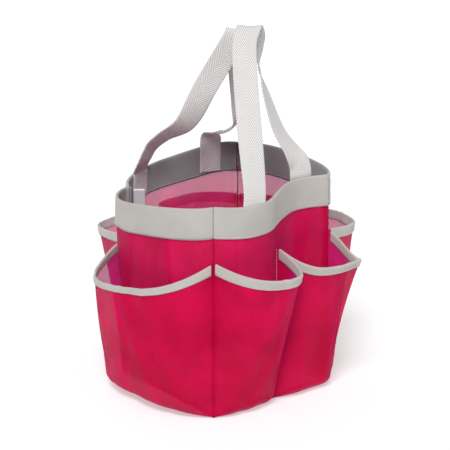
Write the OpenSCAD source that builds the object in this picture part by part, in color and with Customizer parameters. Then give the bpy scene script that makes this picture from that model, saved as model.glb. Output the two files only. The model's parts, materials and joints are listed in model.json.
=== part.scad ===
// Mesh shower caddy: a soft square bucket of fine mesh, seven outside pockets bound with tape,
// a folded rim band and two webbing handles. Millimetres. +Z is up, the front is -Y, and the
// origin is the middle of the base's underside.

/* [Bucket] */
// Width of the square base
base_w = 158; // [150:1:166]
// Height of the rim at the front left corner seam
wall_h = 223; // [210:1:235]
// Thickness of the mesh walls and base, with their seam allowance
wall_t = 1.2; // [1:0.1:1.4]
// Height of the band folded over the rim
band_h = 32; // [26:1:36]
// Thickness of one layer of the band
band_t = 1.2; // [0.8:0.1:1.2]

/* [Pockets] */
// Height of a pocket's ends as a share of the wall's height
mouth_share = 0.745; // [0.7:0.005:0.76]
// Thickness of the pocket mesh
pocket_t = 1; // [0.8:0.1:1.2]
// Width of the tape bound over a pocket's mouth
binding_w = 10.5; // [8:0.5:12]
// Thickness of one layer of that tape
binding_t = 0.8; // [0.6:0.1:0.9]

/* [Handles] */
// Width of the handle webbing
webbing_w = 25; // [20:1:26]
// Thickness of the handle webbing
webbing_t = 1.6; // [1.2:0.1:1.8]

/* [Label] */
// Length of the care label that hangs from the back left seam
label_l = 12; // [8:1:16]
// Height of the care label
label_h = 20; // [14:1:24]

/* [Hidden] */

mesh_pink = [0.86, 0.05, 0.32];
tape_grey = [0.76, 0.74, 0.71];
webbing_grey = [0.84, 0.82, 0.80];
thread_grey = [0.9, 0.89, 0.87];

// The four sides run anticlockwise seen from above: front, right, back, left.
side_out = [[0, -1, 0], [1, 0, 0], [0, 1, 0], [-1, 0, 0]];
side_run = [[1, 0, 0], [0, 1, 0], [-1, 0, 0], [0, -1, 0]];
corner_sign = [[-1, -1], [1, -1], [1, 1], [-1, 1]];
// Where the corner seams reach the rim, in the same order, starting at the front left.
rim_corner = [[-68, -66], [77, -73], [78, 73], [-73, 70]];
rim_lift = [0, 8, 10, -10];
// How far each side swells outwards at the rim, and how far it swings in an S.
side_swell = [9, 24, 30, 42];
side_swing = [16, 0, -6, 2];

clear = 0.1;          // gap between sewn layers
corner_gap = 0.012;   // share of a side left free for each corner's seam tape
wall_steps = 20;
pocket_steps = 20;
eps = 0.002;

function unit(a) = a / norm(a);
function up(h) = [0, 0, h];
// A smooth hump: 0 at x = 0 and 1, 1 in the middle.
function hump(x, sharp, round) = pow(max(0, 1 - pow(abs(2 * x - 1), sharp)), round);
// Steps from a to b that crowd together at both ends.
function spread(a, b, n) = [for (i = [0:n]) a + (b - a) * (1 - cos(180 * i / n)) / 2];

// ---- The bucket's wall: side k, u along it from corner to corner, v from the base to the rim ----
function corner_at(k, v) =
  let (low = corner_sign[k] * base_w / 2, high = rim_corner[k])
  [low.x + (high.x - low.x) * v, low.y + (high.y - low.y) * v, 0];
function lift_at(k, u) = rim_lift[k] + (rim_lift[(k + 1) % 4] - rim_lift[k]) * (1 - cos(180 * u)) / 2;
function rim_height(k, u) = wall_h + lift_at(k, u);
function swell_at(k, u, v) = (side_swell[k] * hump(u, 2.4, 0.6) + side_swing[k] * sin(360 * u)) * sin(90 * v);
function wall(k, u, v) =
  corner_at(k, v) * (1 - u) + corner_at((k + 1) % 4, v) * u
  + side_out[k] * swell_at(k, u, v) + up(v * rim_height(k, u));
function wall_normal(k, u, v) =
  unit(cross(wall(k, u + eps, v) - wall(k, u - eps, v), wall(k, u, v + eps) - wall(k, u, v - eps)));
function on_wall(k, u, v, out) = wall(k, u, v) + wall_normal(k, u, v) * out;

wall_u = spread(corner_gap, 1 - corner_gap, wall_steps);
band_v = 1 - band_h / wall_h;
wall_top_v = 1 - (band_t + clear) / wall_h;
band_fold_v = 1 - band_t / 2 / wall_h;
wall_v = [(wall_t + clear) / wall_h, 0.15, 0.3, 0.45, 0.6, mouth_share, 0.8, band_v, (1 + band_v) / 2, wall_top_v];

// ---- Closed thin solids ----
// Two grids of points, front[i][j] facing outwards and back[i][j] behind it, closed round the edge.
module shell(front, back) {
  rows = len(front);
  cols = len(front[0]);
  n = rows * cols;
  function id(i, j) = i * cols + j;
  points = concat([for (r = front) for (p = r) p], [for (r = back) for (p = r) p]);
  grid = [for (i = [0:rows - 2]) for (j = [0:cols - 2])
    [id(i, j), id(i, j + 1), id(i + 1, j + 1), id(i + 1, j)]];
  rim = concat(
    [for (i = [0:rows - 2]) [id(i, 0), id(i + 1, 0)]],
    [for (j = [0:cols - 2]) [id(rows - 1, j), id(rows - 1, j + 1)]],
    [for (i = [rows - 1:-1:1]) [id(i, cols - 1), id(i - 1, cols - 1)]],
    [for (j = [cols - 1:-1:1]) [id(0, j), id(0, j - 1)]]
  );
  faces = concat(
    [for (q = grid) each [[q[0], q[1], q[2]], [q[0], q[2], q[3]]]],
    [for (q = grid) each [[n + q[0], n + q[2], n + q[1]], [n + q[0], n + q[3], n + q[2]]]],
    [for (e = rim) each [[e[0], e[1], n + e[1]], [e[0], n + e[1], n + e[0]]]]
  );
  polyhedron(points, faces);
}

// ---- Base ----
module rounded_square(w, r) {
  hull()
    for (x = [-1, 1], y = [-1, 1])
      translate([x * (w / 2 - r), y * (w / 2 - r)]) circle(r, $fn = 32);
}

module base_panel() {
  color(mesh_pink)
    linear_extrude(wall_t)
      rounded_square(base_w + wall_t, 3);
}

module base_seam_tape() {
  tape_w = 6;
  inside_w = base_w - wall_t - 2;
  color(mesh_pink)
    translate(up(wall_t + clear))
      linear_extrude(1)
        difference() {
          rounded_square(inside_w, 2);
          rounded_square(inside_w - 2 * tape_w, 1);
        }
}

// ---- Walls, rim bands and corner seams ----
module side_wall(k) {
  color(mesh_pink)
    shell([for (u = wall_u) [for (v = wall_v) on_wall(k, u, v, wall_t / 2)]],
          [for (u = wall_u) [for (v = wall_v) on_wall(k, u, v, -wall_t / 2)]]);
}

// A tape folded over an edge: its two layers stand at +-mid from the edge's middle surface.
// legs holds [v, fold] pairs from the inner layer's foot, over the fold, to the outer layer's foot.
module rim_band(k) {
  mid = wall_t / 2 + clear + band_t / 2;
  half = band_t / 2;
  vs = [band_v, (1 + band_v) / 2, wall_top_v];
  function at(u, v, out, lift) = on_wall(k, u, v, out) + up(lift);
  color(tape_grey)
    shell(
      [for (u = wall_u) concat(
        [for (v = vs) at(u, v, -mid - half, 0)], [at(u, 1, -mid - half, 0), at(u, 1, mid + half, 0)],
        [for (i = [2:-1:0]) at(u, vs[i], mid + half, 0)])],
      [for (u = wall_u) concat(
        [for (v = vs) at(u, v, -mid + half, 0)],
        [at(u, wall_top_v, -mid + half, clear / 2), at(u, wall_top_v, mid - half, clear / 2)],
        [for (i = [2:-1:0]) at(u, vs[i], mid - half, 0)])]);
}

// The bound seam of a corner: a narrow fin between the two walls' edges, pointing inwards.
module seam_tape(k) {
  fin_w = 9;
  fin_t = 0.9;
  stand = -1.5;
  vs = [0.015, 0.12, 0.25, 0.5, 0.75, 0.997];
  function inward(v) =
    let (out = wall_normal(k, 0.02, v) + wall_normal((k + 3) % 4, 0.98, v)) -unit([out.x, out.y, 0]);
  function at(v, depth, side) =
    corner_at(k, v) + inward(v) * depth + cross(up(1), inward(v)) * side + up(v * (wall_h + rim_lift[k]));
  color(mesh_pink)
    shell([for (d = [stand, stand + fin_w]) [for (v = vs) at(v, d, -fin_t / 2)]],
          [for (d = [stand, stand + fin_w]) [for (v = vs) at(v, d, fin_t / 2)]]);
}

// ---- Pockets: side, ends along it, depth, lean along the side, droop, fullness at the foot ----
POCKETS = [
  [0, 0.008, 0.492, 47, 9, 9, 0.35],
  [0, 0.508, 0.992, 60, 33, 20, 0.3],
  [1, 0.008, 0.492, 44, 3, 9, 0.45],
  [1, 0.508, 0.992, 42, -3, 12, 0.5],
  [2, 0.008, 0.492, 44, -4, 10, 0.45],
  [2, 0.508, 0.992, 46, 16, 12, 0.4],
  [3, 0.008, 0.992, 30, -12, 27, 1.35]
];
pocket_square = 3.2;  // how squarely a pocket leaves its side seams
pocket_round = 0.62;  // how round its mouth is in between
foot_share = 0.15;    // share of a pocket's cloth in its rounded foot
foot_rise = 0.1;      // share of a pocket's height that the foot takes
foot_lift = 0.7;      // height of the foot's cloth over the floor
pocket_stand = wall_t / 2 + pocket_t / 2 + 0.4;
binding_s = spread(0.01, 0.99, pocket_steps);
pocket_s = concat([0], binding_s, [1]);
binding_t0 = 1 - binding_w / (wall_h * mouth_share);
pocket_top_t = 1 - (binding_t + clear) / (wall_h * mouth_share);

function foot_turn(t) = 90 * min(1, t / foot_share);
function body_t(t) = max(0, (t - foot_share) / (1 - foot_share));
function fullness(low, t) = low * sin(foot_turn(t)) + (1 - low) * body_t(t);
function height_share(t) = foot_rise * (1 - cos(foot_turn(t))) + (1 - foot_rise) * body_t(t);
function pocket_at(i, s, t) =
  let (p = POCKETS[i], k = p[0], u = p[1] + (p[2] - p[1]) * s, v = mouth_share * height_share(t),
       full = fullness(p[6], t), across = hump(s, pocket_square, pocket_round))
  on_wall(k, u, max(v, eps), pocket_stand)
  + side_out[k] * p[3] * across * full
  + side_run[k] * p[4] * pow(sin(180 * s), 2) * full
  + up(foot_lift * (1 - t) - p[5] * across * pow(t, 3));
function pocket_normal(i, s, t) =
  let (a = max(0, s - eps), b = min(1, s + eps), c = max(0, t - eps), d = min(1, t + eps))
  unit(cross(pocket_at(i, b, t) - pocket_at(i, a, t), pocket_at(i, s, d) - pocket_at(i, s, c)));
function on_pocket(i, s, t, out) = pocket_at(i, s, t) + pocket_normal(i, s, t) * out;

module pocket(i) {
  ts = [0, 0.05, 0.1, 0.15, 0.3, 0.45, 0.6, 0.74, 0.86, binding_t0, pocket_top_t];
  color(mesh_pink)
    shell([for (s = pocket_s) [for (t = ts) on_pocket(i, s, t, pocket_t / 2)]],
          [for (s = pocket_s) [for (t = ts) on_pocket(i, s, t, -pocket_t / 2)]]);
}

module binding(i) {
  ts = [binding_t0, (1 + binding_t0) / 2, pocket_top_t];
  near = pocket_t / 2 + clear;
  far = near + binding_t;
  function at(s, t, out, lift) = on_pocket(i, s, t, out) + up(lift);
  color(tape_grey)
    shell(
      [for (s = binding_s) concat(
        [for (t = ts) at(s, t, -far, 0)], [at(s, 1, -far, 0), at(s, 1, far, 0)],
        [for (j = [2:-1:0]) at(s, ts[j], far, 0)])],
      [for (s = binding_s) concat(
        [for (t = ts) at(s, t, -near, 0)],
        [at(s, pocket_top_t, -near, clear / 2), at(s, pocket_top_t, near, clear / 2)],
        [for (j = [2:-1:0]) at(s, ts[j], near, 0)])]);
}

// ---- Stitching: short raised stitches, each a small bar lying on its cloth ----
stitch_t = 0.5;
module stitch(p, along, outward, length) {
  z = unit(along);
  y = unit(outward - z * (outward * z));
  x = cross(y, z);
  multmatrix([[x.x, y.x, z.x, p.x], [x.y, y.y, z.y, p.y], [x.z, y.z, z.z, p.z], [0, 0, 0, 1]])
    translate([-stitch_t / 2, 0, -length / 2]) cube([stitch_t, stitch_t, length]);
}

// One upright row down the middle of each side that carries two pockets.
module pocket_divider_stitching() {
  rows = 18;
  stitch_l = 5;
  color(thread_grey)
    for (k = [0:2], j = [1:rows])
      let (v = mouth_share * j / (rows + 1))
      stitch(on_wall(k, 0.5, v, wall_t / 2 + clear), wall(k, 0.5, v + eps) - wall(k, 0.5, v),
             wall_normal(k, 0.5, v), stitch_l);
}

// One row along the foot of the rim band on every side.
module rim_stitching() {
  count = 20;
  stitch_l = 4.5;
  foot_v = band_v + 2.5 / wall_h;
  out = wall_t / 2 + clear + band_t + 0.5;
  color(thread_grey)
    for (k = [0:3], j = [1:count])
      let (u = j / (count + 1))
      stitch(on_wall(k, u, foot_v, out), wall(k, u + eps, foot_v) - wall(k, u, foot_v),
             wall_normal(k, u, foot_v), stitch_l);
}

// ---- Handles ----
// Each handle is one webbing sewn inside the rim at two places. Its points are [x, y, z] and the
// direction across the webbing, from the left or front end over the top to the other end.
FRONT_ENDS = [0, 0.235, 0.82];
BACK_ENDS = [2, 0.765, 0.18];
FRONT_LOOP = [
  [[-30, -84, 243], [0.95, -0.2, 0]],
  [[-16, -59, 293], [0.8, -0.6, 0]],
  [[-4, -38, 338], [0.78, -0.63, 0]],
  [[6, -24, 371], [0.78, -0.63, 0]],
  [[14, -19, 383], [0.78, -0.63, 0]],
  [[21, -15, 386], [0.75, -0.6, 0]],
  [[27, -12, 378], [0.72, -0.55, 0.1]],
  [[30, -13, 362], [0.8, 0.1, -0.1]],
  [[29, -20, 343], [0.6, 0.74, -0.3]],
  [[30, -30, 318], [0.75, 0.5, -0.3]],
  [[36, -43, 281], [0.88, 0.3, -0.25]],
  [[45, -56, 257], [0.97, 0.1, -0.1]],
  [[51, -60, 243], [0.97, -0.2, 0.05]]
];
BACK_LOOP = [
  [[-38, 91, 229], [0.9, 0.3, 0]],
  [[-31, 87, 244], [0.75, 0.35, -0.35]],
  [[-25, 73, 258], [0.78, 0.3, -0.45]],
  [[-12, 51, 276], [0.8, -0.1, -0.55]],
  [[1, 35, 314], [0.61, -0.68, -0.42]],
  [[13, 21, 346], [0.61, -0.68, -0.42]],
  [[21, 11, 368], [0.65, -0.68, -0.25]],
  [[26, 11, 377], [0.7, -0.7, -0.1]],
  [[32, 17, 372], [0.74, -0.67, 0]],
  [[35, 21, 350], [0.76, -0.65, 0]],
  [[42, 25, 318], [0.78, -0.6, 0.05]],
  [[51, 34, 288], [0.75, -0.2, 0.1]],
  [[55, 48, 266], [0.6, 0.74, -0.3]],
  [[58, 72, 250], [0.6, 0.74, -0.3]],
  [[52, 86, 245], [0.95, -0.15, 0.08]]
];
loop_lift = 4;        // the swinging webbing starts this far over the rim
end_gap = 0.8;        // room left for the band's curve between it and the flat webbing
end_out = -(wall_t / 2 + clear + band_t + end_gap + webbing_t / 2);

function rim_run(k, u) = unit(wall(k, u + eps, 1) - wall(k, u - eps, 1));
function loop_root(k, u, flip) = [on_wall(k, u, 1, end_out) + up(loop_lift), rim_run(k, u) * flip];
function full_loop(ends, loop, flip) = concat(
  [loop_root(ends[0], ends[1], flip)], loop, [loop_root(ends[0], ends[2], flip)]);

// A smooth curve through the points of a list, n steps to each stretch.
function smooth(a, b, c, d, t) =
  0.5 * (2 * b + (c - a) * t + (2 * a - 5 * b + 4 * c - d) * t * t + (3 * b - a - 3 * c + d) * t * t * t);
function curve(list, part, n) =
  let (last = len(list) - 1)
  concat([for (i = [0:last - 1], j = [0:n - 1])
    smooth(list[max(0, i - 1)][part], list[i][part], list[i + 1][part], list[min(last, i + 2)][part], j / n)],
    [list[last][part]]);

module handle(ends, loop, flip) {
  pts = full_loop(ends, loop, flip);
  line = curve(pts, 0, 5);
  widths = curve(pts, 1, 5);
  last = len(line) - 1;
  run = [for (i = [0:last]) unit(line[min(last, i + 1)] - line[max(0, i - 1)])];
  wide = [for (i = [0:last]) unit(widths[i] - run[i] * (widths[i] * run[i])) * webbing_w / 2];
  thick = [for (i = [0:last]) unit(cross(wide[i], run[i])) * webbing_t / 2];
  color(webbing_grey)
    shell([for (i = [0:last]) [line[i] + wide[i] + thick[i], line[i] - wide[i] + thick[i]]],
          [for (i = [0:last]) [line[i] + wide[i] - thick[i], line[i] - wide[i] - thick[i]]]);
}

// The two sewn ends of a handle, flat against the inside of the rim band.
module handle_ends(ends) {
  k = ends[0];
  length = norm(wall(k, 1, 1) - wall(k, 0, 1));
  half_u = webbing_w / 2 / length;
  vs = [band_v + 0.01, (1 + band_v) / 2, 1];
  color(webbing_grey)
    for (u0 = [ends[1], ends[2]])
      let (us = [for (i = [-2:2]) u0 + half_u * i / 2])
      shell([for (u = us) [for (v = vs) on_wall(k, u, v, end_out + webbing_t / 2)]],
            [for (u = us) [for (v = vs) on_wall(k, u, v, end_out - webbing_t / 2)]]);
}

// Two short bar tacks on the inner face of each sewn end.
module handle_bar_tacks() {
  tack_l = 10;
  color(thread_grey)
    for (ends = [FRONT_ENDS, BACK_ENDS], e = [1, 2], drop = [7, 26])
      let (k = ends[0], u = ends[e], v = 1 - drop / wall_h)
      stitch(on_wall(k, u, v, end_out - webbing_t / 2 - 0.5), wall(k, u + eps, v) - wall(k, u - eps, v),
             -wall_normal(k, u, v), tack_l);
}

// ---- Care label ----
label_drop = 3;
module care_label() {
  label_t = 0.6;
  inward = -unit([corner_sign[3].x, corner_sign[3].y, 0]);
  start = corner_at(3, 0.97) + inward * 8.5;
  color("white")
    translate([start.x, start.y, wall_h + rim_lift[3] - label_drop - label_h])
      rotate([0, 0, atan2(inward.y, inward.x)])
        translate([0, -label_t / 2, 0])
          cube([label_l, label_t, label_h]);
}

base_panel();
base_seam_tape();
side_wall(0);  // front_wall
side_wall(1);  // right_wall
side_wall(2);  // back_wall
side_wall(3);  // left_wall
rim_band(0);  // front_rim_band
rim_band(1);  // right_rim_band
rim_band(2);  // back_rim_band
rim_band(3);  // left_rim_band
seam_tape(0);  // front_left_seam_tape
seam_tape(1);  // front_right_seam_tape
seam_tape(2);  // back_right_seam_tape
seam_tape(3);  // back_left_seam_tape
pocket(0);  // front_left_pocket
pocket(1);  // front_right_pocket
pocket(2);  // right_front_pocket
pocket(3);  // right_back_pocket
pocket(4);  // back_right_pocket
pocket(5);  // back_left_pocket
pocket(6);  // left_pocket
binding(0);  // front_left_binding
binding(1);  // front_right_binding
binding(2);  // right_front_binding
binding(3);  // right_back_binding
binding(4);  // back_right_binding
binding(5);  // back_left_binding
binding(6);  // left_binding
pocket_divider_stitching();
rim_stitching();
handle_bar_tacks();
handle(FRONT_ENDS, FRONT_LOOP, 1);  // front_handle
handle_ends(FRONT_ENDS);  // front_handle_ends
handle(BACK_ENDS, BACK_LOOP, -1);  // back_handle
handle_ends(BACK_ENDS);  // back_handle_ends
care_label();
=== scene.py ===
"""A soft mesh shower caddy: sewn mesh sheets, folded tape, herringbone webbing and thread."""
import bpy
import json
import math
import numpy as np
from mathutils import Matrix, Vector


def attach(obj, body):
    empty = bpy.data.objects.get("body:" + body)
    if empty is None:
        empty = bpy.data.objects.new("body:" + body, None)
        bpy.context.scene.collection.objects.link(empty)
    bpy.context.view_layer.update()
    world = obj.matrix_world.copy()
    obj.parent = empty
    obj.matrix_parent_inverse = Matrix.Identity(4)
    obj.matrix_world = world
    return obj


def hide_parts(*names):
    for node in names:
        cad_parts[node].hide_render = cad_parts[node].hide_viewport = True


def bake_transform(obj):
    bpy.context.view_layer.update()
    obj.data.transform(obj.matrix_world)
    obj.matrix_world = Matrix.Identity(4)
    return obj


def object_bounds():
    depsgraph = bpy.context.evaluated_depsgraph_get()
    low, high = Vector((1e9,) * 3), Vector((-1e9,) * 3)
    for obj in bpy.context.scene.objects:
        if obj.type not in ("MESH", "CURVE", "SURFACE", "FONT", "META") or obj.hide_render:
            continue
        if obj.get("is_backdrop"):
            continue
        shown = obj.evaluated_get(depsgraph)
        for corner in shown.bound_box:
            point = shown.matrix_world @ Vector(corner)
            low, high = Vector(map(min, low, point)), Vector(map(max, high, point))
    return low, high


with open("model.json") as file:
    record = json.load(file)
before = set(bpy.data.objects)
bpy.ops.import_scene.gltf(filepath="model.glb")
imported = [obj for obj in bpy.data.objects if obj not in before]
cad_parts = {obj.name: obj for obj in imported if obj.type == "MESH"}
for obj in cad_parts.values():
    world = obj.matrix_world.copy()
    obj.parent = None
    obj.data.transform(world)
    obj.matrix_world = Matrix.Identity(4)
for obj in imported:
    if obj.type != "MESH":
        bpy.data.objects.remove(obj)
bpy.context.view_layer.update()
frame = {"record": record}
MM = 0.001

# ---------------------------------------------------------------- sizes, in millimetres
BASE, RIM_Z = 158.0, 223.0
BAND_H, BAND_T, BAND_MID = 32.0, 0.9, 1.25
MOUTH = 0.745
BINDING_W, BINDING_T, BINDING_MID = 10.5, 0.7, 0.95
WEB_W, WEB_T = 25.0, 1.5
SEWN_OUT = -3.0
POCKET_STAND = 1.5
FOOT_SHARE, FOOT_RISE, FOOT_LIFT = 0.15, 0.1, 0.9
EPS = 0.002
WEAVE_U, WEAVE_V = 1.15, 1.0
RIM_SEW, MOUTH_SEW = 2.2, 1.6  # rows of stitches, up from a tape's lower edge
THREAD_STAND = 0.2  # thread over the tape that it lies on
BLEND_BELOW, BLEND_ABOVE = 0.009, 0.012  # in metres, either side of a handle's hinge

OUT = np.array([[0, -1, 0], [1, 0, 0], [0, 1, 0], [-1, 0, 0]], float)
RUN = np.array([[1, 0, 0], [0, 1, 0], [-1, 0, 0], [0, -1, 0]], float)
SIGN = np.array([[-1, -1], [1, -1], [1, 1], [-1, 1]], float)
RIM = np.array([[-68, -66], [77, -73], [78, 73], [-73, 70]], float)
LIFT = [0, 8, 10, -10]
SWELL = [9, 24, 30, 42]
SWING = [16, 0, -6, 2]
SIDES = ["front", "right", "back", "left"]
CORNERS = ["front_left", "front_right", "back_right", "back_left"]

# name: side, ends along it, depth, lean, droop, fullness at the foot
POCKETS = {
    "front_left": (0, -0.003, 0.497, 47, 9, 9, 0.35),
    "front_right": (0, 0.503, 1.003, 60, 33, 20, 0.3),
    "right_front": (1, -0.003, 0.497, 44, 3, 9, 0.45),
    "right_back": (1, 0.503, 1.003, 42, -3, 12, 0.5),
    "back_right": (2, -0.003, 0.497, 44, -4, 10, 0.45),
    "back_left": (2, 0.503, 1.003, 46, 16, 12, 0.4),
    "left": (3, -0.003, 1.003, 30, -12, 27, 1.35),
}

# ---------------------------------------------------------------- the bucket's surface


def unit(a):
    return a / np.maximum(np.linalg.norm(a, axis=-1, keepdims=True), 1e-9)


def up(h):
    h = np.asarray(h, float)
    return np.stack([h * 0, h * 0, h], axis=-1)


def hump(x, sharp, rounded):
    return np.maximum(0, 1 - np.abs(2 * x - 1) ** sharp) ** rounded


def spread(a, b, n):
    return a + (b - a) * (1 - np.cos(np.pi * np.linspace(0, 1, n + 1))) / 2


def ripple(seed, x, y, waves=7):
    """Smooth seeded folds that run mostly up the cloth."""
    rng = np.random.default_rng(seed)
    total = 0 * (x + y)
    for _ in range(waves):
        fx, fy = rng.uniform(1.5, 5.5), rng.uniform(-1.6, 1.6)
        phase = rng.uniform(0, 2 * np.pi)
        total = total + rng.uniform(0.4, 1) / fx * np.sin(2 * np.pi * (fx * x + fy * y) + phase)
    return total


def pucker(seed, edge, along):
    """Short gathers that die away from a sewn edge; edge and along are in millimetres."""
    rng = np.random.default_rng(seed)
    waves = sum(rng.uniform(0.5, 1) * np.sin(2 * np.pi * along / pitch + rng.uniform(0, 6.28))
                for pitch in (7.5, 10.5, 16.0))
    return waves * np.exp(-edge / 7.0) * np.clip(edge / 2.5, 0, 1)


def corner_at(k, v):
    v = np.asarray(v, float)[..., None]
    low = SIGN[k] * BASE / 2
    flat = low + (RIM[k] - low) * v
    return np.concatenate([flat, np.zeros_like(v)], axis=-1)


def lift_at(k, u):
    return LIFT[k] + (LIFT[(k + 1) % 4] - LIFT[k]) * (1 - np.cos(np.pi * u)) / 2


def wall(k, u, v):
    u, v = np.broadcast_arrays(np.asarray(u, float), np.asarray(v, float))
    swell = (SWELL[k] * hump(u, 2.4, 0.6) + SWING[k] * np.sin(2 * np.pi * u)) * np.sin(np.pi / 2 * v)
    fold = 1.7 * ripple(40 + k, u, v) * np.sin(np.pi * np.clip(u, 0, 1))
    fold = fold * np.sin(np.pi * np.clip(v, 0, 1)) ** 0.7
    edge = BASE * np.minimum(np.abs(u), np.abs(1 - u))
    fold = fold + 0.42 * pucker(20 + k, edge, RIM_Z * v)
    a, b = corner_at(k, v), corner_at((k + 1) % 4, v)
    mix = u[..., None]
    return a * (1 - mix) + b * mix + OUT[k] * (swell + fold)[..., None] + up(v * (RIM_Z + lift_at(k, u)))


def wall_normal(k, u, v):
    du = wall(k, u + EPS, v) - wall(k, u - EPS, v)
    dv = wall(k, u, v + EPS) - wall(k, u, v - EPS)
    return unit(np.cross(du, dv))


def on_wall(k, u, v, out):
    u, v, out = np.broadcast_arrays(*(np.asarray(x, float) for x in (u, v, out)))
    return wall(k, u, v) + wall_normal(k, u, v) * out[..., None]


def pocket_at(name, s, t):
    k, u0, u1, depth, lean, droop, low = POCKETS[name]
    s, t = np.broadcast_arrays(np.asarray(s, float), np.asarray(t, float))
    turn = np.pi / 2 * np.minimum(1, t / FOOT_SHARE)
    body = np.maximum(0, (t - FOOT_SHARE) / (1 - FOOT_SHARE))
    full = low * np.sin(turn) + (1 - low) * body
    v = MOUTH * (FOOT_RISE * (1 - np.cos(turn)) + (1 - FOOT_RISE) * body)
    across = hump(s, 3.2, 0.62)
    seed = 60 + list(POCKETS).index(name)
    fold = 2.4 * ripple(seed, s * (u1 - u0) * 2, t)
    fold = fold * np.sin(np.pi * s) ** 0.8 * np.sin(np.pi * np.clip(t, 0, 1)) ** 0.6
    stand = 0.5 + (POCKET_STAND - 0.5) * np.sin(np.pi * np.clip(s, 0, 1)) ** 0.4
    p = on_wall(k, u0 + (u1 - u0) * s, np.maximum(v, EPS), stand)
    fold = fold + 0.55 * pucker(seed + 9, RIM_Z * MOUTH * np.abs(1 - t), BASE * (u1 - u0) * s)
    p = p + OUT[k] * (depth * across * full + fold)[..., None]
    p = p + RUN[k] * (lean * np.sin(np.pi * s) ** 2 * full)[..., None]
    return p + up(FOOT_LIFT * (1 - t) - droop * across * t ** 3)


def pocket_normal(name, s, t):
    a, b = np.maximum(0, s - EPS), np.minimum(1, s + EPS)
    c, d = np.maximum(0, t - EPS), np.minimum(1, t + EPS)
    return unit(np.cross(pocket_at(name, b, t) - pocket_at(name, a, t),
                         pocket_at(name, s, d) - pocket_at(name, s, c)))


def on_pocket(name, s, t, out):
    s, t, out = np.broadcast_arrays(*(np.asarray(x, float) for x in (s, t, out)))
    return pocket_at(name, s, t) + pocket_normal(name, s, t) * out[..., None]


# ---------------------------------------------------------------- meshes


def make(name, verts, faces, uvs, material, replaces=(), body="bucket", smooth=True, blend=None):
    """A mesh piece from points in millimetres; uvs holds one (u, v) in millimetres per point."""
    mesh = bpy.data.meshes.new(name)
    mesh.from_pydata((np.asarray(verts) * MM).tolist(), [], [tuple(int(i) for i in f) for f in faces])
    layer = mesh.uv_layers.new(name="UVMap")
    index = np.empty(len(mesh.loops), np.int32)
    mesh.loops.foreach_get("vertex_index", index)
    layer.data.foreach_set("uv", np.asarray(uvs, np.float32)[index].ravel())
    mesh.polygons.foreach_set("use_smooth", [smooth] * len(mesh.polygons))
    mesh.materials.append(material)
    mesh.update()
    obj = bpy.data.objects.new(name, mesh)
    bpy.context.collection.objects.link(obj)
    if replaces:
        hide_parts(*replaces)
    if blend:
        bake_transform(obj)
    else:
        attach(obj, body)
    return obj


def lengths(points, axis):
    """Distance along a grid's axis, mean over the other."""
    step = np.linalg.norm(np.diff(points, axis=axis), axis=-1).mean(axis=1 - axis)
    return np.concatenate([[0], np.cumsum(step)])


def sheet(name, points, material, replaces):
    """One layer of cloth from a grid of points, with UVs in millimetres measured along and across the grid."""
    rows, cols = points.shape[:2]
    ids = np.arange(rows * cols).reshape(rows, cols)
    faces = np.stack([ids[:-1, :-1], ids[1:, :-1], ids[1:, 1:], ids[:-1, 1:]], axis=-1).reshape(-1, 4)
    along, over = lengths(points, 0), lengths(points, 1)
    uv = np.stack(np.meshgrid(along, over, indexing="ij"), axis=-1).reshape(-1, 2)
    obj = make(name, points.reshape(-1, 3), faces, uv, material, replaces)
    return obj


def sweep(rings):
    """Closed strip from stations of closed rings: returns points, faces and (along, round) in mm."""
    n, m = rings.shape[:2]
    ids = np.arange(n * m).reshape(n, m)
    nxt = np.roll(ids, -1, axis=1)
    faces = np.stack([ids[:-1], nxt[:-1], nxt[1:], ids[1:]], axis=-1).reshape(-1, 4).tolist()
    faces += [list(ids[0][::-1]), list(ids[-1])]
    along = np.concatenate([[0], np.cumsum(np.linalg.norm(np.diff(rings.mean(axis=1), axis=0), axis=-1))])
    ring = np.linalg.norm(np.diff(rings, axis=1), axis=-1).mean(axis=0)
    around = np.concatenate([[0], np.cumsum(ring)])
    uv = np.stack(np.meshgrid(along, around, indexing="ij"), axis=-1).reshape(-1, 2)
    return rings.reshape(-1, 3), faces, uv


def fold_profile(mid, thick, leg, steps=5):
    """A tape folded over an edge, as (offset from the cloth, height under the edge, lift over it)."""
    def side(offset):
        r = mid + offset
        legs = np.linspace(leg, 0, steps)
        inner = [(-r, d, 0.0) for d in legs]
        top = [(-r * math.cos(a), 0.0, r * math.sin(a)) for a in np.linspace(0, math.pi, 9)[1:-1]]
        outer = [(r, d, 0.0) for d in legs[::-1]]
        return inner + top + outer
    return np.array(side(thick / 2) + side(-thick / 2)[::-1])


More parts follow.
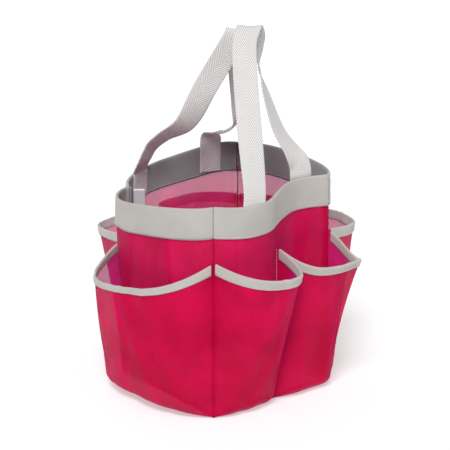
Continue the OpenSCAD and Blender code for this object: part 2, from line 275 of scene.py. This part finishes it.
def stitches(runs, pitch, length, radius=0.27):
    """Short thread capsules laid along runs of (points, normals)."""
    verts, faces, uvs = [], [], []
    sides = 6
    profile = [(-0.5, 0.35), (-0.3, 1.0), (0.3, 1.0), (0.5, 0.35)]
    for points, normals in runs:
        seg = np.linalg.norm(np.diff(points, axis=0), axis=-1)
        arc = np.concatenate([[0], np.cumsum(seg)])
        count = max(1, int(arc[-1] / pitch))
        for c in range(count):
            mid = (c + 0.5) * arc[-1] / count
            ends = [np.array([np.interp(mid + d * length / 2, arc, points[:, j]) for j in range(3)])
                    for d in (-1, 1)]
            n = unit(np.array([np.interp(mid, arc, normals[:, j]) for j in range(3)]))
            x = unit(ends[1] - ends[0])
            y = unit(np.cross(n, x))
            n = np.cross(x, y)
            centre = (ends[0] + ends[1]) / 2
            base = len(verts)
            for along, r in profile:
                for i in range(sides):
                    a = 2 * math.pi * i / sides
                    drop = -0.16 * (abs(along) > 0.4)
                    verts.append(centre + x * along * length + y * math.cos(a) * radius * r * 1.15
                                 + n * (math.sin(a) * radius * r + drop))
                    uvs.append((along * length, a))
            for ring in range(len(profile) - 1):
                for i in range(sides):
                    p, q = base + ring * sides, base + (ring + 1) * sides
                    faces.append((p + i, p + (i + 1) % sides, q + (i + 1) % sides, q + i))
            faces.append(tuple(base + i for i in range(sides))[::-1])
            faces.append(tuple(base + (len(profile) - 1) * sides + i for i in range(sides)))
    return np.array(verts), faces, np.array(uvs)


# ---------------------------------------------------------------- materials


class Nodes:
    """Short names for building a node tree."""

    def __init__(self, name):
        self.mat = bpy.data.materials.new(name)
        self.mat.use_nodes = True
        self.tree = self.mat.node_tree
        self.tree.nodes.clear()
        self.out = self.add("ShaderNodeOutputMaterial")
        self.bsdf = self.add("ShaderNodeBsdfPrincipled")
        self.link(self.bsdf.outputs[0], self.out.inputs[0])
        uv = self.add("ShaderNodeTexCoord")
        split = self.add("ShaderNodeSeparateXYZ")
        self.link(uv.outputs["UV"], split.inputs[0])
        self.u, self.v = split.outputs[0], split.outputs[1]
        self.place = uv.outputs["Object"]

    def add(self, kind, **settings):
        node = self.tree.nodes.new(kind)
        for key, value in settings.items():
            setattr(node, key, value)
        return node

    def link(self, a, b):
        self.tree.links.new(a, b)

    def put(self, value, socket):
        if isinstance(value, bpy.types.NodeSocket):
            self.link(value, socket)
        else:
            socket.default_value = value

    def math(self, op, a, b=0.0, clamp=False):
        node = self.add("ShaderNodeMath", operation=op, use_clamp=clamp)
        self.put(a, node.inputs[0])
        self.put(b, node.inputs[1])
        return node.outputs[0]

    def band(self, x, low, high):
        """0 below low, 1 above high, smooth between."""
        node = self.add("ShaderNodeMapRange", interpolation_type="SMOOTHSTEP")
        self.put(x, node.inputs[0])
        node.inputs[1].default_value, node.inputs[2].default_value = low, high
        return node.outputs[0]

    def wave(self, x, pitch):
        """A rounded wave from 0 to 1 with this pitch."""
        turned = self.math("SINE", self.math("MULTIPLY", x, 2 * math.pi / pitch))
        node = self.add("ShaderNodeMath", operation="MULTIPLY_ADD")
        self.link(turned, node.inputs[0])
        node.inputs[1].default_value = node.inputs[2].default_value = 0.5
        return node.outputs[0]

    def noise(self, scale, detail=3.0):
        node = self.add("ShaderNodeTexNoise")
        self.link(self.place, node.inputs["Vector"])
        node.inputs["Scale"].default_value = scale
        node.inputs["Detail"].default_value = detail
        return node.outputs[0]

    def mix(self, fac, a, b):
        node = self.add("ShaderNodeMix", data_type="RGBA")
        self.put(fac, node.inputs[0])
        for value, socket in ((a, node.inputs[6]), (b, node.inputs[7])):
            self.put(value if isinstance(value, bpy.types.NodeSocket) else (*value, 1), socket)
        return node.outputs[2]

    def bump(self, height, strength, distance):
        node = self.add("ShaderNodeBump")
        self.link(height, node.inputs["Height"])
        node.inputs["Strength"].default_value = strength
        node.inputs["Distance"].default_value = distance
        self.link(node.outputs[0], self.bsdf.inputs["Normal"])

    def set(self, name, value):
        self.put(value, self.bsdf.inputs[name])

    def rough(self, x, low, high):
        """Roughness that runs from low to high as x runs from 0 to 1."""
        node = self.add("ShaderNodeMapRange")
        self.link(x, node.inputs[0])
        node.inputs[3].default_value, node.inputs[4].default_value = low, high
        self.set("Roughness", node.outputs[0])


def mesh_cloth(name, dark, light, solid, hole):
    """Fine open net: crossed threads with holes between, in a colour that drifts a little."""
    n = Nodes(name)
    warp, weft = n.wave(n.u, WEAVE_U), n.wave(n.v, WEAVE_V)
    thread = n.math("MAXIMUM", warp, weft)
    cover = n.band(thread, 0.45, 0.95)
    drift = n.noise(28.0)
    slub = n.noise(420.0, 2.0)
    colour = n.mix(n.band(drift, 0.3, 0.7), dark, light)
    pale = tuple(min(1, c * 1.2 + 0.01) for c in light)
    colour = n.mix(n.math("MULTIPLY", n.band(slub, 0.45, 0.8), 0.15), colour, pale)
    n.set("Base Color", colour)
    alpha = n.add("ShaderNodeMapRange")
    n.link(cover, alpha.inputs[0])
    alpha.inputs[3].default_value, alpha.inputs[4].default_value = hole, solid
    n.set("Alpha", alpha.outputs[0])
    n.rough(slub, 0.42, 0.62)
    n.set("Specular IOR Level", 0.1)
    n.bump(thread, 0.5, 0.0002)
    glow = n.add("ShaderNodeBsdfTranslucent")
    glow.inputs["Color"].default_value = (0.58, 0.03, 0.48, 1)
    clear = n.add("ShaderNodeBsdfTransparent")
    part = n.add("ShaderNodeMixShader")
    n.link(alpha.outputs[0], part.inputs[0])
    n.link(clear.outputs[0], part.inputs[1])
    n.link(glow.outputs[0], part.inputs[2])
    both = n.add("ShaderNodeMixShader")
    both.inputs[0].default_value = 0.3
    n.link(n.bsdf.outputs[0], both.inputs[1])
    n.link(part.outputs[0], both.inputs[2])
    n.link(both.outputs[0], n.out.inputs[0])
    return n.mat


def ribbed_tape(name, dark, light, width):
    """Grosgrain: fine ribs across the tape, with lighter selvages and slight soiling."""
    n = Nodes(name)
    rib = n.wave(n.u, 0.8)
    weft = n.wave(n.v, 0.55)
    drift = n.noise(35.0, 4.0)
    fuzz = n.noise(900.0, 2.0)
    shade = n.math("ADD", n.math("MULTIPLY", rib, 0.45), n.math("MULTIPLY", drift, 0.55))
    colour = n.mix(n.band(shade, 0.2, 0.8), dark, light)
    off_edge = n.math("PINGPONG", n.v, width / 2)
    selvage = n.math("SUBTRACT", 1.0, n.band(off_edge, 0.7, 1.5))
    pale = tuple(min(1.0, c * 1.45) for c in light)
    n.set("Base Color", n.mix(n.math("MULTIPLY", selvage, 0.8), colour, pale))
    n.rough(fuzz, 0.72, 0.92)
    n.set("Sheen Weight", 0.3)
    n.set("Sheen Roughness", 0.5)
    height = n.math("ADD", n.math("MULTIPLY", rib, 1.0), n.math("MULTIPLY", n.math("ADD", weft, fuzz), 0.3))
    n.bump(height, 0.55, 0.00025)
    return n.mat


def herringbone(name, dark, light):
    """Webbing: slanted ribs that turn back at each column, so the columns read as chevrons."""
    n = Nodes(name)
    column = WEB_W / 2
    saw = n.math("PINGPONG", n.v, column)
    slant = n.math("ADD", n.u, n.math("MULTIPLY", saw, 1.35))
    rib = n.wave(slant, 3.2)
    ridge = n.wave(n.v, column / 8)
    fibre = n.noise(1300.0, 2.0)
    drift = n.noise(30.0, 3.0)
    shade = n.math("ADD", n.math("MULTIPLY", rib, 0.75), n.math("MULTIPLY", drift, 0.25))
    n.set("Base Color", n.mix(n.band(shade, 0.15, 0.7), dark, light))
    n.rough(fibre, 0.6, 0.85)
    n.set("Sheen Weight", 0.25)
    n.set("Sheen Roughness", 0.45)
    fine = n.math("ADD", n.math("MULTIPLY", ridge, 0.2), n.math("MULTIPLY", fibre, 0.3))
    height = n.math("ADD", rib, fine)
    n.bump(height, 0.7, 0.0004)
    return n.mat


def spun_thread(name, colour):
    n = Nodes(name)
    ply = n.wave(n.math("ADD", n.u, n.math("MULTIPLY", n.v, 0.3)), 0.5)
    n.set("Base Color", n.mix(ply, tuple(c * 0.8 for c in colour), colour))
    n.rough(ply, 0.55, 0.8)
    n.bump(ply, 0.4, 0.0001)
    return n.mat


NET = mesh_cloth("crimson_net", (0.57, 0.001, 0.036), (0.75, 0.002, 0.066), 0.97, 0.62)
NET_EDGE = mesh_cloth("crimson_seam", (0.38, 0.001, 0.03), (0.52, 0.003, 0.05), 1.0, 0.85)
RIM_TAPE = ribbed_tape("grey_rim_tape", (0.34, 0.325, 0.30), (0.47, 0.45, 0.42), 66.8)
MOUTH_TAPE = ribbed_tape("grey_mouth_tape", (0.36, 0.345, 0.32), (0.49, 0.47, 0.44), 23.2)
# a darker, bluish copy of the rim tape: painted shade for the band's inward faces and its corner joints
TAPE_PAINTED_SHADE = ribbed_tape("grey_tape_painted_shade", (0.19, 0.195, 0.20), (0.27, 0.275, 0.28), 66.8)
WEBBING = herringbone("pale_webbing", (0.41, 0.40, 0.395), (0.67, 0.655, 0.645))
THREAD = spun_thread("grey_thread", (0.66, 0.64, 0.61))
LABEL = ribbed_tape("label_satin", (0.44, 0.43, 0.45), (0.55, 0.54, 0.56), 40.0)

# ---------------------------------------------------------------- base
BASE_Z = 0.2
grid = np.linspace(-1, 1, 41)
bx, by = np.meshgrid(grid, grid, indexing="ij")
half = (BASE - 0.6) / 2
base_points = np.stack([bx * half, by * half, np.full_like(bx, BASE_Z)], axis=-1)
base = sheet("base_net", base_points, NET, ["base_panel"])


def ring_strip(name, half_side, z, width, thick, material, replaces):
    """A flat tape sewn round inside the base's edge."""
    n = 24
    path = []
    for k in range(4):
        a, b = SIGN[k] * half_side, SIGN[(k + 1) % 4] * half_side
        for t in np.linspace(0, 1, n, endpoint=False):
            path.append(a + (b - a) * t)
    path = np.array(path)
    inner = path * (1 - width / half_side)
    rings = []
    for (ox, oy), (ix, iy) in zip(path, inner):
        rings.append([(ox, oy, z), (ox, oy, z + thick), (ix, iy, z + thick), (ix, iy, z)])
    rings = np.array(rings + [rings[0]])
    verts, faces, uv = sweep(rings)
    count = len(rings) - 1
    keep = verts[: count * 4]
    faces = [[i % (count * 4) for i in f] for f in faces[:-2]]
    return make(name, keep, faces, uv[: count * 4], material, replaces, smooth=False)


ring_strip("base_hem_tape", half + 0.9, 0.4, 7.0, 0.9, NET_EDGE, ["base_seam_tape"])

# ---------------------------------------------------------------- walls, seams and rim band
BAND_V = 1 - BAND_H / RIM_Z
for k, side in enumerate(SIDES):
    us, vs = spread(0, 1, 80), np.linspace(0.0012, BAND_V + 0.06, 80)
    sheet(f"{side}_wall_net", on_wall(k, us[:, None], vs[None, :], 0.0), NET, [f"{side}_wall"])
    profile = fold_profile(BAND_MID, BAND_T, BAND_H - BAND_MID, 9)
    us = spread(0.0013, 0.9987, 96)
    rings = on_wall(k, us[:, None], 1 - (profile[None, :, 1] + BAND_MID) / RIM_Z, profile[None, :, 0])
    rings = rings + up(np.broadcast_to(profile[None, :, 2], rings.shape[:2]))
    verts, faces, uv = sweep(rings)
    tape = make(f"{side}_rim_tape", verts, faces, uv, RIM_TAPE, [f"{side}_rim_band"])
    # the band's inward faces get the darker tape copy: painted shade, not the tape's own colour
    tape.data.materials.append(TAPE_PAINTED_SHADE)
    outward = wall_normal(k, 0.5, 1.0)
    for face in tape.data.polygons:
        face.material_index = int(face.normal.dot(Vector(outward)) < -0.2)


def corner_frame(k, v):
    """A place on a corner's seam, the level direction into the bucket there, and the one across it."""
    outward = wall_normal(k, 0.02, v) + wall_normal((k + 3) % 4, 0.98, v)
    inward = -unit(np.array([outward[0], outward[1], 0.0]))
    place = corner_at(k, v) + np.array([0, 0, v * (RIM_Z + LIFT[k])])
    return place, inward, np.cross([0, 0, 1.0], inward)


# each section is a ring of (depth into the bucket, offset across)
FIN = ((-1.3, 0.0), (-1.0, 0.5), (0.5, 0.45), (5.5, 0.35), (5.5, -0.35), (0.5, -0.45), (-1.0, -0.5))
RIM_JOINT = ((-1.5, -0.5), (-1.5, 0.5), (0.4, 0.7), (2.4, 0.5), (2.4, -0.5), (0.4, -0.7))
for k, corner in enumerate(CORNERS):
    rings = []
    for v in np.linspace(0.006, BAND_V + 0.03, 70):
        p, inward, across = corner_frame(k, v)
        wob = 0.5 * math.sin(v * 23 + k) + 0.3 * math.sin(v * 51 + 2 * k)
        rings.append([p + inward * d + across * (s + wob * max(0, d) / 7.5)
                      for d, s in FIN])
    verts, faces, uv = sweep(np.array(rings))
    make(f"{corner}_seam", verts, faces, uv, NET_EDGE, [f"{corner}_seam_tape"])
    # where the rim band's ends are sewn together
    rings = []
    for v in np.linspace(BAND_V + 0.002, 0.9965, 16):
        p, inward, across = corner_frame(k, v)
        rings.append([p + inward * d + across * s for d, s in RIM_JOINT])
    verts, faces, uv = sweep(np.array(rings))
    # the joint is drawn in the same darker tape copy, painted shade
    make(f"{corner}_rim_joint", verts, faces, uv, TAPE_PAINTED_SHADE)

# ---------------------------------------------------------------- pockets and their bindings
for name, spec in POCKETS.items():
    wide = 2 if name == "left" else 1
    ss = spread(0, 1, 64 * wide)
    ts = np.concatenate([np.linspace(0, FOOT_SHARE, 18), np.linspace(FOOT_SHARE, 0.995, 72)[1:]])
    sheet(f"{name}_pocket_net", pocket_at(name, ss[:, None], ts[None, :]), NET, [f"{name}_pocket"])
    profile = fold_profile(BINDING_MID, BINDING_T, BINDING_W - BINDING_MID, 5)
    ss = spread(0.004, 0.996, 80 * wide)
    t_of = 1 - (profile[None, :, 1] + BINDING_MID) / (RIM_Z * MOUTH)
    rings = on_pocket(name, ss[:, None], t_of, profile[None, :, 0])
    rings = rings + up(np.broadcast_to(profile[None, :, 2], rings.shape[:2]))
    verts, faces, uv = sweep(rings)
    make(f"{name}_mouth_tape", verts, faces, uv, MOUTH_TAPE, [f"{name}_binding"])

# ---------------------------------------------------------------- handles
SEWN_DEPTHS = [3, 10, 20, 29]  # under the rim
FRONT_ENDS, BACK_ENDS = (0, 0.235, 0.82), (2, 0.765, 0.18)
# along each loop: (a place on its middle line, the direction across the webbing there)
FRONT_LOOP = [
    ((-30, -84, 243), (0.95, -0.2, 0)), ((-16, -59, 293), (0.8, -0.6, 0)),
    ((-4, -38, 338), (0.78, -0.63, 0)), ((6, -24, 371), (0.78, -0.63, 0)),
    ((14, -19, 383), (0.78, -0.63, 0)), ((21, -15, 386), (0.75, -0.6, 0)),
    ((27, -12, 378), (0.72, -0.55, 0.1)), ((30, -13, 362), (0.8, 0.1, -0.1)),
    ((29, -20, 343), (0.6, 0.74, -0.3)), ((30, -30, 318), (0.75, 0.5, -0.3)),
    ((36, -43, 281), (0.88, 0.3, -0.25)), ((45, -56, 257), (0.97, 0.1, -0.1)),
    ((51, -60, 243), (0.97, -0.2, 0.05)),
]
BACK_LOOP = [
    ((-38, 91, 229), (0.9, 0.3, 0)), ((-31, 87, 244), (0.75, 0.35, -0.35)),
    ((-25, 73, 258), (0.78, 0.3, -0.45)), ((-12, 51, 276), (0.8, -0.1, -0.55)),
    ((1, 35, 314), (0.61, -0.68, -0.42)), ((13, 21, 346), (0.61, -0.68, -0.42)),
    ((21, 11, 368), (0.65, -0.68, -0.25)), ((26, 11, 377), (0.7, -0.7, -0.1)),
    ((32, 17, 372), (0.74, -0.67, 0)), ((35, 21, 350), (0.76, -0.65, 0)),
    ((42, 25, 318), (0.78, -0.6, 0.05)), ((51, 34, 288), (0.75, -0.2, 0.1)),
    ((55, 48, 266), (0.6, 0.74, -0.3)), ((58, 72, 250), (0.6, 0.74, -0.3)),
    ((52, 86, 245), (0.95, -0.15, 0.08)),
]


def smooth_curve(points, n):
    points = np.asarray(points, float)
    last = len(points) - 1
    out = []
    for i in range(last):
        a, b, c, d = (points[j] for j in (max(0, i - 1), i, i + 1, min(last, i + 2)))
        for t in np.arange(n) / n:
            out.append(0.5 * (2 * b + (c - a) * t + (2 * a - 5 * b + 4 * c - d) * t ** 2
                              + (3 * b - a - 3 * c + d) * t ** 3))
    return np.array(out + [points[last]])


def web_section():
    """The webbing's rounded flat section as (across, through), starting at one edge."""
    w, t = WEB_W / 2, WEB_T / 2
    top = [(x, t) for x in np.linspace(-w + t, w - t, 13)]
    right = [(w - t + t * math.sin(a), t * math.cos(a)) for a in (math.pi / 3, 2 * math.pi / 3)]
    bottom = [(x, -t) for x in np.linspace(w - t, -w + t, 13)]
    left = [(-w + t - t * math.sin(a), -t * math.cos(a)) for a in (math.pi / 3, 2 * math.pi / 3)]
    return np.array(top + right + bottom + left)


def handle(name, ends, loop, flip, nodes, moving, joint):
    k = ends[0]

    def sewn(u, depths):
        run = unit(wall(k, u + EPS, 1.0) - wall(k, u - EPS, 1.0)) * flip
        return [(on_wall(k, u, 1 - d / RIM_Z, SEWN_OUT), run) for d in depths]
    rise = [(sewn(e, [0])[0][0] + up(1.5), sewn(e, [0])[0][1]) for e in ends[1:]]
    stations = sewn(ends[1], SEWN_DEPTHS[::-1]) + [rise[0]] + list(loop) + [rise[1]] + sewn(ends[2], SEWN_DEPTHS)
    line = smooth_curve([p for p, _ in stations], 9)
    width = smooth_curve([w for _, w in stations], 9)
    run = unit(np.gradient(line, axis=0))
    wide = unit(width - run * (width * run).sum(axis=-1, keepdims=True))
    thick = np.cross(wide, run)
    section = web_section()
    rings = (line[:, None, :] + wide[:, None, :] * section[None, :, 0:1]
             + thick[:, None, :] * section[None, :, 1:2])
    verts, faces, uv = sweep(rings)
    # the pattern's second coordinate is the place across the webbing, the same on both faces
    uv[:, 1] = np.tile(section[:, 0] + WEB_W / 2, len(rings))
    hinge = next(j for j in frame["record"]["behaviour"]["joints"] if j["name"] == joint)
    at, axis = np.array(hinge["pos_m"]), unit(np.array(hinge["axis"], float))
    rise_dir = unit(np.array([0, 0, 1.0]) - axis * axis[2])
    start, end = at - rise_dir * BLEND_BELOW, at + rise_dir * BLEND_ABOVE
    make(name, verts, faces, uv, WEBBING, nodes, blend=("bucket", moving, start, end))


handle("front_webbing", FRONT_ENDS, FRONT_LOOP, 1, ["front_handle", "front_handle_ends"], "front_loop",
       "front_handle_swing")
handle("back_webbing", BACK_ENDS, BACK_LOOP, -1, ["back_handle", "back_handle_ends"], "back_loop",
       "back_handle_swing")

# ---------------------------------------------------------------- stitching


def wall_run(k, us, v, out):
    us = np.asarray(us, float)
    return on_wall(k, us, v, out), wall_normal(k, us, np.full_like(us, v)) * np.sign(out)


rim_runs, binding_runs, divider_runs, tack_runs = [], [], [], []
out = BAND_MID + BAND_T / 2 + THREAD_STAND
for k in range(4):
    us = np.linspace(0.02, 0.98, 120)
    for face in (1, -1):
        rim_runs.append(wall_run(k, us, 1 - (BAND_H - RIM_SEW) / RIM_Z, out * face))
for k in range(3):
    vs = np.linspace(0.03, MOUTH - 0.01, 100)
    divider_runs.append((on_wall(k, np.full(100, 0.5), vs, 0.3), wall_normal(k, np.full(100, 0.5), vs)))
side_out = BINDING_MID + BINDING_T / 2 + THREAD_STAND
for name in POCKETS:
    ss = np.linspace(0.02, 0.98, 140)
    t = np.full(140, 1 - (BINDING_W - MOUTH_SEW) / (RIM_Z * MOUTH))
    binding_runs.append((on_pocket(name, ss, t, side_out), pocket_normal(name, ss, t)))
for ends in (FRONT_ENDS, BACK_ENDS):
    k = ends[0]
    length = np.linalg.norm(wall(k, 1.0, 1.0) - wall(k, 0.0, 1.0))
    for u0 in ends[1:]:
        h = 10.0 / length
        box = [(-h, 4), (h, 4), (h, 26), (-h, 26), (-h, 4)]
        for (ua, da), (ub, db) in list(zip(box, box[1:])) + [((-h, 4), (h, 26)), ((h, 4), (-h, 26))]:
            f = np.linspace(0, 1, 12)
            u, v = u0 + ua + (ub - ua) * f, 1 - (da + (db - da) * f) / RIM_Z
            tack_runs.append((on_wall(k, u, v, SEWN_OUT - WEB_T / 2 - 0.1), -wall_normal(k, u, v)))

for name, runs, pitch, length, node in (
    ("rim_thread", rim_runs, 3.2, 2.4, ["rim_stitching"]),
    ("divider_thread", divider_runs, 3.4, 2.6, ["pocket_divider_stitching"]),
    ("mouth_thread", binding_runs, 3.2, 2.4, []),
    ("handle_thread", tack_runs, 2.6, 2.0, ["handle_bar_tacks"]),
):
    verts, faces, uv = stitches(runs, pitch, length)
    make(name, verts, faces, uv, THREAD, node)

# ---------------------------------------------------------------- care label
LABEL_HEIGHTS = np.linspace(0, 20, 9)
inward = -unit(np.append(SIGN[3], 0.0))
across = np.cross([0, 0, 1.0], inward)
start = corner_at(3, 0.97) + inward * 4.5
top = RIM_Z + LIFT[3] - 3
rings = []
for d in np.linspace(0, 12, 14):
    bend = 1.6 * math.sin(d / 12 * 2.2)
    rings.append([start + inward * d + across * (bend + s) + np.array([0, 0, top - h])
                  for s, heights in ((0.2, LABEL_HEIGHTS), (-0.2, LABEL_HEIGHTS[::-1])) for h in heights])
verts, faces, uv = sweep(np.array(rings))
make("blank_care_label", verts, faces, uv, LABEL, ["care_label"])

# ---------------------------------------------------------------- studio
bpy.ops.mesh.primitive_plane_add(size=12, location=(0, 0, 0))
floor = bpy.context.object
floor.name = "studio_floor"
paint = Nodes("floor_paint")
paint.set("Base Color", paint.mix(paint.noise(3.0), (0.54, 0.54, 0.545), (0.56, 0.56, 0.565)))
paint.set("Emission Color", (1.0, 1.0, 1.0, 1.0))
paint.set("Emission Strength", 0.42)
paint.set("Roughness", 0.9)
floor.data.materials.append(paint.mat)
floor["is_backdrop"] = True

world = bpy.data.worlds.new("studio")
bpy.context.scene.world = world
world.use_nodes = True
world.node_tree.nodes["Background"].inputs[0].default_value = (1, 1, 1, 1)
world.node_tree.nodes["Background"].inputs[1].default_value = 0.36


def area_light(name, place, size, power, aim=(0, 0, 0.15)):
    lamp = bpy.data.lights.new(name, "AREA")
    lamp.energy, lamp.size = power, size
    obj = bpy.data.objects.new(name, lamp)
    bpy.context.collection.objects.link(obj)
    obj.location = place
    obj.rotation_euler = (Vector(aim) - Vector(place)).to_track_quat("-Z", "Y").to_euler()


sun_data = bpy.data.lights.new("window", "SUN")
sun_data.energy, sun_data.angle = 3.0, math.radians(22)
sun = bpy.data.objects.new("window", sun_data)
bpy.context.collection.objects.link(sun)
sun.rotation_euler = (-Vector((-0.8, -0.75, 1.3))).to_track_quat("-Z", "Y").to_euler()
area_light("fill", (0.6, -2.2, 0.9), 1.6, 4)
area_light("back", (0.3, 1.8, 1.4), 1.4, 4)

scene = bpy.context.scene
scene.view_settings.view_transform = "Standard"
cam_data = bpy.data.cameras.new("camera")
cam = bpy.data.objects.new("camera", cam_data)
bpy.context.collection.objects.link(cam)
scene.camera = cam
AZ, EL, DISTANCE = math.radians(-39), math.radians(18.5), 1.98
TARGET = Vector((0, 0, 0.176))
back = Vector((math.sin(AZ) * math.cos(EL), -math.cos(AZ) * math.cos(EL), math.sin(EL)))
cam.location = TARGET + back * DISTANCE
cam.rotation_euler = (-back).to_track_quat("-Z", "Y").to_euler()
cam_data.sensor_width = 36
cam_data.lens = 149.8
cam_data.shift_y = -0.0067

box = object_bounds()
